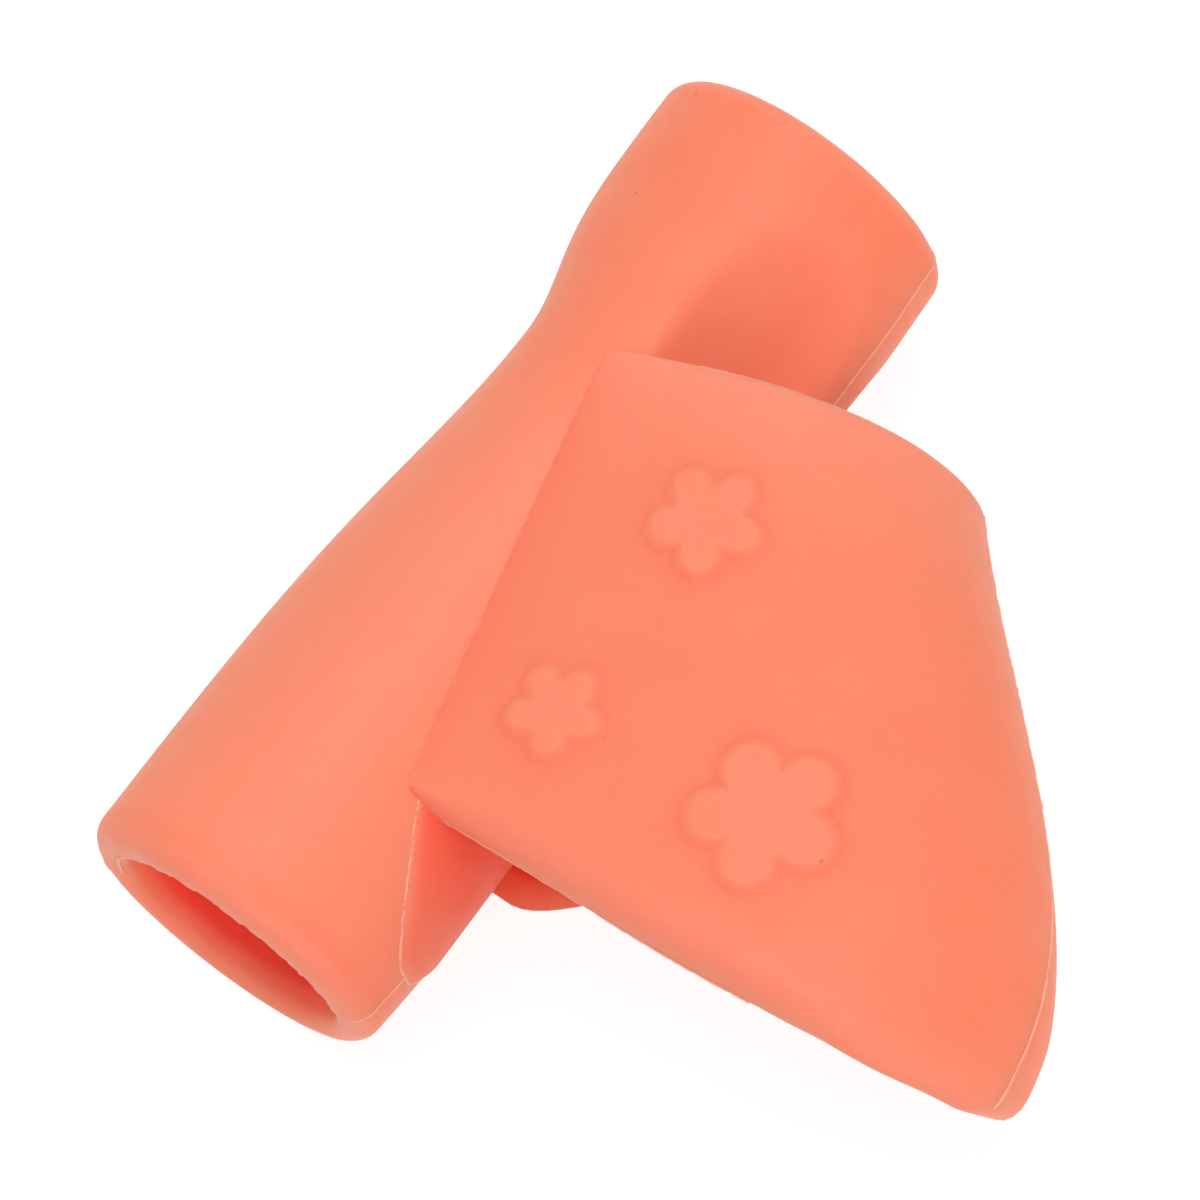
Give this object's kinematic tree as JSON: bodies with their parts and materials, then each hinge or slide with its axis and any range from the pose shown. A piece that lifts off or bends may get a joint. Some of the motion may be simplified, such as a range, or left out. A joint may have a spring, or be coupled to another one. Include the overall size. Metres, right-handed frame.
{
  "type": "pencil grip",
  "caption": "Soft silicone pencil grip: a waisted barrel with a flared pencil bore and fingertip dishes, and a two-walled cone pocket with raised flowers for thumb and index finger.",
  "frame": {"origin": "on the bore's axis, half-way along the barrel", "axes": "+Y along the bore from the rear end to the fingertip end, +X towards the finger pocket, +Z out of the flowered wall, as the grip lies on its plain wall"},
  "size_m": [0.0395, 0.041, 0.0156],
  "materials": {
    "silicone": "matte"
  },
  "bodies": {
    "barrel": {"barrel": "silicone", "front_living_hinge": "silicone", "back_living_hinge": "silicone"},
    "pocket": {"front_wall": "silicone", "back_wall": "silicone", "flower_large": "silicone", "flower_medium": "silicone", "flower_small": "silicone"}
  },
  "joints": [
    {"name": "pocket_sway", "type": "hinge", "parent": "barrel", "child": "pocket", "pos_m": [0, 0, 0], "axis": [0, 1, 0], "range_deg": [-12, 12], "stiffness_Nm_per_rad": 0.05}
  ]
}
